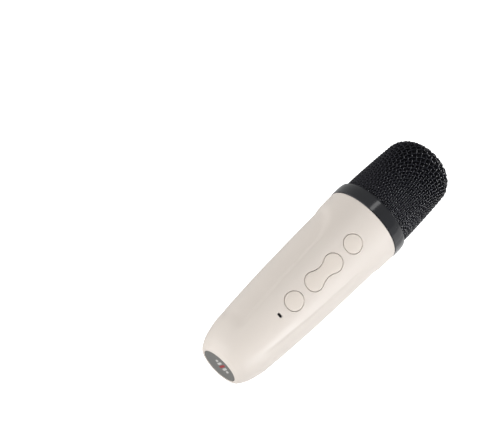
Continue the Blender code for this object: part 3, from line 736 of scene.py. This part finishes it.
grille = weave()
grille.data.materials.append(wire_black)
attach(grille, "head")
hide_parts("grille_mesh")


# ------------------------------------------------------------------ foam liner
def foam():
    s, r, z = head_profile(1.25)
    so, ro, zo = head_profile(1.25 + 2.3)
    keep = z > FOAM_START + 0.1
    keepo = zo > FOAM_START + 0.1
    prof = list(zip(r[keep], z[keep]))[::3] + [(float(r[keep][-1]), FOAM_START + 0.05), (float(ro[keepo][-1]), FOAM_START + 0.05)]
    prof += list(reversed(list(zip(ro[keepo], zo[keepo]))[::5]))
    steps = 120
    a = 2 * np.pi * np.arange(steps) / steps
    b = Builder()
    rings = [np.stack([q * np.cos(a), q * np.sin(a), np.full(steps, w)], -1) for q, w in prof]
    b.loops(rings)
    obj = b.make("foam_liner", smooth_angle=60.0)
    co = np.array([v.co for v in obj.data.vertices])
    no = np.array([v.normal for v in obj.data.vertices])
    wob = (np.sin(co[:, 0] * 2100 + 1.3) * np.sin(co[:, 1] * 2300 + 0.4) * np.sin(co[:, 2] * 1900)) * 0.00012
    obj.data.vertices.foreach_set("co", (co - no * np.abs(wob)[:, None]).ravel())
    return obj


liner = foam()
liner.data.materials.append(foam_black)
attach(liner, "head")
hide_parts("grille_foam")

# ------------------------------------------------------------------ tail label
label_mat = moulded("label_dark_grey", (0.168, 0.166, 0.157), 0.42, 0.05, 1800.0, 0.000006)
ink_pale = moulded("label_ink_pale", (0.50, 0.49, 0.47), 0.5, 0.03)
ink_red = moulded("label_ink_red", (0.33, 0.03, 0.035), 0.45, 0.04)
lab_prof = [(0.01, 0.66), (8.75, 0.66), (LABEL_R, 0.58), (LABEL_R, 0.24), (8.82, 0.14), (8.6, 0.11), (0.01, 0.11)]
label = lathe("tail_disc", lab_prof, 160, 35.0)
label.data.materials.append(label_mat)
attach(label, "handle")
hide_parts("end_label")


def print_bars():
    """Generic level-meter mark on the disc: five upright bars, the middle one red."""
    out = []
    for name, mat, cols in (("disc_mark_pale", ink_pale, (-2, -1, 1, 2)), ("disc_mark_red", ink_red, (0,))):
        b = Builder()
        for c in cols:
            w, h = 0.58, (3.3, 2.4, 1.3)[abs(c)]
            cx = 0.6 + c * 1.7
            o = [(cx + x, y - 2.4) for x, y in arc(0, h - w, w, 0, 180, 8) + arc(0, -(h - w), w, 180, 360, 8)]
            n = len(o)
            b.loops([[(x, y, 0.11) for x, y in o], [(x, y, 0.085) for x, y in o]])
            b.add([(x, y, 0.085) for x, y in o], [tuple(range(n))])
            b.add([(x, y, 0.11) for x, y in o], [tuple(range(n))])
        obj = b.make(name, smooth_angle=30.0)
        obj.data.materials.append(mat)
        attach(obj, "handle")
        out.append(obj)
    return out


print_bars()

# ------------------------------------------------------------------ carried-over CAD nodes
frame_plastic = moulded("frame_black_plastic", (0.05, 0.05, 0.055), 0.5, 0.06)
switch_plastic = moulded("switch_black_plastic", (0.035, 0.035, 0.038), 0.4, 0.05)
plunger_plastic = moulded("plunger_ivory", (0.6, 0.58, 0.52), 0.5, 0.04)
chip_plastic = moulded("chip_epoxy", (0.025, 0.025, 0.026), 0.55, 0.08)
rubber = moulded("rubber_black", (0.018, 0.018, 0.019), 0.8, 0.1, 1500.0, 0.00003)
pipe_smoke = moulded("light_pipe_smoke", (0.010, 0.008, 0.008), 0.5, 0.05, Specular_IOR_Level=0.25)
led_lens = moulded("led_lens", (0.8, 0.75, 0.55), 0.2, 0.03)
lead_red = moulded("lead_red", (0.5, 0.03, 0.03), 0.4, 0.05)
lead_black = moulded("lead_black", (0.02, 0.02, 0.02), 0.4, 0.08)
steel = metal("screw_steel", (0.58, 0.58, 0.6), 0.32)
shield = metal("shield_tin", (0.66, 0.66, 0.68), 0.3, (14.0, 1.0, 1.0))
capsule_metal = metal("capsule_aluminium", (0.72, 0.72, 0.74), 0.34, (1.0, 1.0, 26.0))


def board_material():
    m = Mat("board_green", 0.32, 0.0, Coat_Weight=0.3, Coat_Roughness=0.2)
    bricks = m.t.nodes.new("ShaderNodeTexBrick")
    bricks.inputs["Scale"].default_value = 420.0
    bricks.inputs["Mortar Size"].default_value = 0.03
    bricks.inputs["Color1"].default_value = (0.008, 0.085, 0.035, 1)
    bricks.inputs["Color2"].default_value = (0.012, 0.11, 0.045, 1)
    bricks.inputs["Mortar"].default_value = (0.03, 0.2, 0.09, 1)
    mp = m.t.nodes.new("ShaderNodeMapping")
    mp.inputs["Rotation"].default_value = (math.pi / 2, 0, 0)
    m.link(m.co, mp.inputs["Vector"])
    m.link(mp.outputs["Vector"], bricks.inputs["Vector"])
    m.colour(bricks.outputs["Color"])
    m.roughness(m.range(m.noise(500.0), 0.3, 0.7, 0.26, 0.42))
    m.bump(bricks.outputs["Fac"], 0.3, 0.00003)
    return m.m


def sleeve_material():
    m = Mat("cell_sleeve_blue", 0.3, 0.0, Coat_Weight=0.4, Coat_Roughness=0.15)
    w = m.noise(180.0, 5.0, 0.6, 0.4)
    m.colour(m.ramp(w, [(0.3, (0.03, 0.12, 0.32)), (0.7, (0.045, 0.17, 0.42))]))
    m.roughness(m.range(w, 0.3, 0.7, 0.24, 0.4))
    m.bump(m.noise(420.0, 3.0, 0.5, 1.2), 0.35, 0.00006)
    return m.m


board_green, sleeve_blue = board_material(), sleeve_material()
clamp_black = moulded("clamp_black_coated", (0.012, 0.012, 0.014), 0.55, 0.1, 1800.0, 0.00002, Specular_IOR_Level=0.3)
LOOKS = {
    "end_screw": steel, "inner_frame": frame_plastic, "board_screw_upper": steel, "board_screw_lower": steel,
    "charge_board_screw_right": steel, "charge_board_screw_left": steel,
    "main_board": board_green, "top_switch": switch_plastic, "volume_up_switch": switch_plastic,
    "volume_down_switch": switch_plastic, "bottom_switch": switch_plastic, "top_plunger": plunger_plastic,
    "volume_up_plunger": plunger_plastic, "volume_down_plunger": plunger_plastic, "bottom_plunger": plunger_plastic,
    "status_led": led_lens, "light_pipe": pipe_smoke, "radio_module": shield, "controller_chip": chip_plastic,
    "rocker_fulcrum": frame_plastic, "charge_board": board_green, "usb_c_socket": shield, "battery_cell": sleeve_blue,
    "battery_pad": rubber, "threaded_neck": frame_plastic, "deck_screw_right": steel, "deck_screw_left": steel,
    "capsule_deck": frame_plastic, "capsule_boot": rubber, "mic_capsule": capsule_metal,
    "capsule_lead_signal": lead_red, "capsule_lead_ground": lead_black, "battery_lead_positive": lead_red,
    "battery_lead_negative": lead_black, "charge_lead_positive": lead_red, "charge_lead_negative": lead_black,
    "head_gasket": rubber, "mesh_clamp_ring": clamp_black,
}
for node, mat in LOOKS.items():
    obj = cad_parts[node]
    obj.data.materials.clear()
    obj.data.materials.append(mat)

# ------------------------------------------------------------------ floor, light, camera
bpy.ops.mesh.primitive_plane_add(size=6.0, location=(0, 0, -0.00002))
floor = bpy.context.active_object
floor.name = "studio_floor"
fm = Mat("studio_floor", 0.7)
fm.colour(fm.ramp(fm.noise(3.0, 4.0), [(0.3, (0.86, 0.86, 0.86)), (0.7, (0.88, 0.88, 0.88))]))
fm.b.inputs["Emission Color"].default_value = (1.0, 1.0, 1.0, 1.0)
# Painted light: the floor glows, dimly near the object and more brightly farther out, standing in for light on the far
# floor.
away = fm.t.nodes.new("ShaderNodeVectorMath")
away.operation = "LENGTH"
fm.link(fm.co, away.inputs[0])
fm.link(fm.range(away.outputs["Value"], 0.12, 1.0, 0.22, 0.70), fm.b.inputs["Emission Strength"])
mixer = fm.t.nodes.new("ShaderNodeMixShader")
clear = fm.t.nodes.new("ShaderNodeBsdfTransparent")
geo = fm.t.nodes.new("ShaderNodeNewGeometry")
fm.link(geo.outputs["Backfacing"], mixer.inputs["Fac"])
fm.link(fm.b.outputs["BSDF"], mixer.inputs[1])
fm.link(clear.outputs["BSDF"], mixer.inputs[2])
fm.link(mixer.outputs["Shader"], fm.t.nodes["Material Output"].inputs["Surface"])
floor.data.materials.append(fm.m)
for ray in ("visible_diffuse", "visible_glossy", "visible_transmission", "visible_shadow"):
    setattr(floor, ray, False)

world = bpy.data.worlds.new("studio")
scene.world = world
world.use_nodes = True
wt = world.node_tree
bg = wt.nodes["Background"]
bg.inputs["Color"].default_value = (1.0, 1.0, 1.0, 1.0)
direction = wt.nodes.new("ShaderNodeTexCoord").outputs["Generated"]
path = wt.nodes.new("ShaderNodeLightPath")


def wmath(op, *args):
    n = wt.nodes.new("ShaderNodeMath")
    n.operation = op
    for i, a in enumerate(args):
        if isinstance(a, (int, float)):
            n.inputs[i].default_value = a
        else:
            wt.links.new(a, n.inputs[i])
    return n.outputs[0]


parts = wt.nodes.new("ShaderNodeSeparateXYZ")
wt.links.new(direction, parts.inputs[0])
dx, dy, dz = parts.outputs
def towards(value, sign, weight):
    return wmath("MULTIPLY", wmath("MAXIMUM", wmath("MULTIPLY", value, sign), 0.0), weight)


glossy, camera_ray = path.outputs["Is Glossy Ray"], path.outputs["Is Camera Ray"]
fill = wmath("ADD", wmath("ADD", towards(dx, -1.0, 0.23), towards(dz, -1.0, 0.69)), towards(dy, 1.0, 1.65))
height = wmath("SUBTRACT", 1.5, wmath("MULTIPLY", wmath("ABSOLUTE", wmath("SUBTRACT", dz, 0.34)), 2.0))
height = wmath("MAXIMUM", wmath("MINIMUM", height, 1.0), 0.2)
sheen = wmath("ADD", wmath("ADD", wmath("MULTIPLY", height, 0.29), towards(dx, -1.0, 0.03)), towards(dy, 1.0, 0.15))
strength = wmath("ADD", wmath("MULTIPLY", glossy, sheen), wmath("MULTIPLY", wmath("SUBTRACT", 1.0, glossy), fill))
strength = wmath("MAXIMUM", strength, wmath("MULTIPLY", camera_ray, 1.05))
wt.links.new(strength, bg.inputs["Strength"])
world.cycles.sampling_method = "NONE"


def softbox(name, azimuth, elevation, distance, size, radiance, diffuse=True, glossy=True, tint=(1.0, 1.0, 1.0)):
    """Rectangular light seen from the handle at an azimuth (from -Y towards +X) and an elevation, facing it."""
    a, e = math.radians(azimuth), math.radians(elevation)
    target = Vector((0, 0, 0.08))
    where = target + Vector((math.sin(a) * math.cos(e), -math.cos(a) * math.cos(e), math.sin(e))) * distance
    power = radiance * math.pi * size[0] * size[1]
    light = bpy.data.lights.new(name, "AREA")
    light.shape = "RECTANGLE"
    light.size, light.size_y = size
    light.energy = power
    light.color = tint
    obj = bpy.data.objects.new(name, light)
    scene.collection.objects.link(obj)
    obj.location = where
    obj.rotation_euler = (target - where).to_track_quat("-Z", "Y").to_euler()
    obj.visible_camera = False
    obj.visible_diffuse = diffuse
    obj.visible_glossy = glossy
    return obj


softbox("key_high", 60, 50, 0.9, (0.45, 0.9), 4.53, glossy=False, tint=(0.99, 1.0, 1.02))
softbox("key_level", 60, 5, 0.9, (0.45, 0.9), 3.29, glossy=False, tint=(0.985, 1.0, 1.025))
softbox("key_low", 60, -50, 0.9, (0.45, 0.9), 0.73, glossy=False)
softbox("side_right", 90, 5, 0.9, (0.45, 0.9), 0.64, glossy=False)
softbox("fill_low", -35, -50, 0.9, (0.45, 0.9), 2.93, glossy=False)
softbox("fill_level", -35, 5, 0.9, (0.45, 0.9), 2.52, glossy=False)
softbox("strip_left", -22.5, 20, 0.9, (0.145, 0.8), 1.25, diffuse=False)
softbox("band_front", 60, 20, 0.9, (0.25, 0.8), 0.1, diffuse=False)
softbox("band_right", 86.5, 20, 0.9, (0.44, 0.8), 0.39, diffuse=False)
softbox("edge_right", 111, 20, 0.9, (0.33, 0.8), 0.255, diffuse=False)
softbox("rim_right", 137, 20, 0.9, (0.5, 0.8), 0.38, diffuse=False)
softbox("haze_left", -75, -35, 0.9, (1.2, 0.8), 1.15, diffuse=False, tint=(0.98, 1.0, 1.10))
softbox("band_low", 62, 3, 0.9, (0.22, 0.3), 13.0, diffuse=False, tint=(0.98, 1.0, 1.05))
softbox("glint_high", 50, 62, 0.9, (0.25, 0.25), 16.0, diffuse=False)
softbox("glint_side", 115, 55, 0.9, (0.24, 0.24), 10.5, diffuse=False)

cam_data = bpy.data.cameras.new("camera")
cam = bpy.data.objects.new("camera", cam_data)
scene.collection.objects.link(cam)
cam_data.sensor_fit = "HORIZONTAL"
cam_data.sensor_width = 36.0
cam_data.lens = 135.32
cam_data.clip_start = 0.01
cam_data.clip_end = 50.0
right = Vector((0.658803, -0.323942, 0.679))
up = Vector((-0.745676, -0.161524, 0.646435))
back = Vector((-0.099732, -0.932187, -0.347968))
cam.matrix_world = Matrix((
    (right.x, up.x, back.x, -0.121891),
    (right.y, up.y, back.y, -0.780576),
    (right.z, up.z, back.z, -0.233860),
    (0, 0, 0, 1)))
scene.camera = cam
scene.view_settings.view_transform = "Standard"
scene.view_settings.look = "None"

bpy.context.view_layer.update()
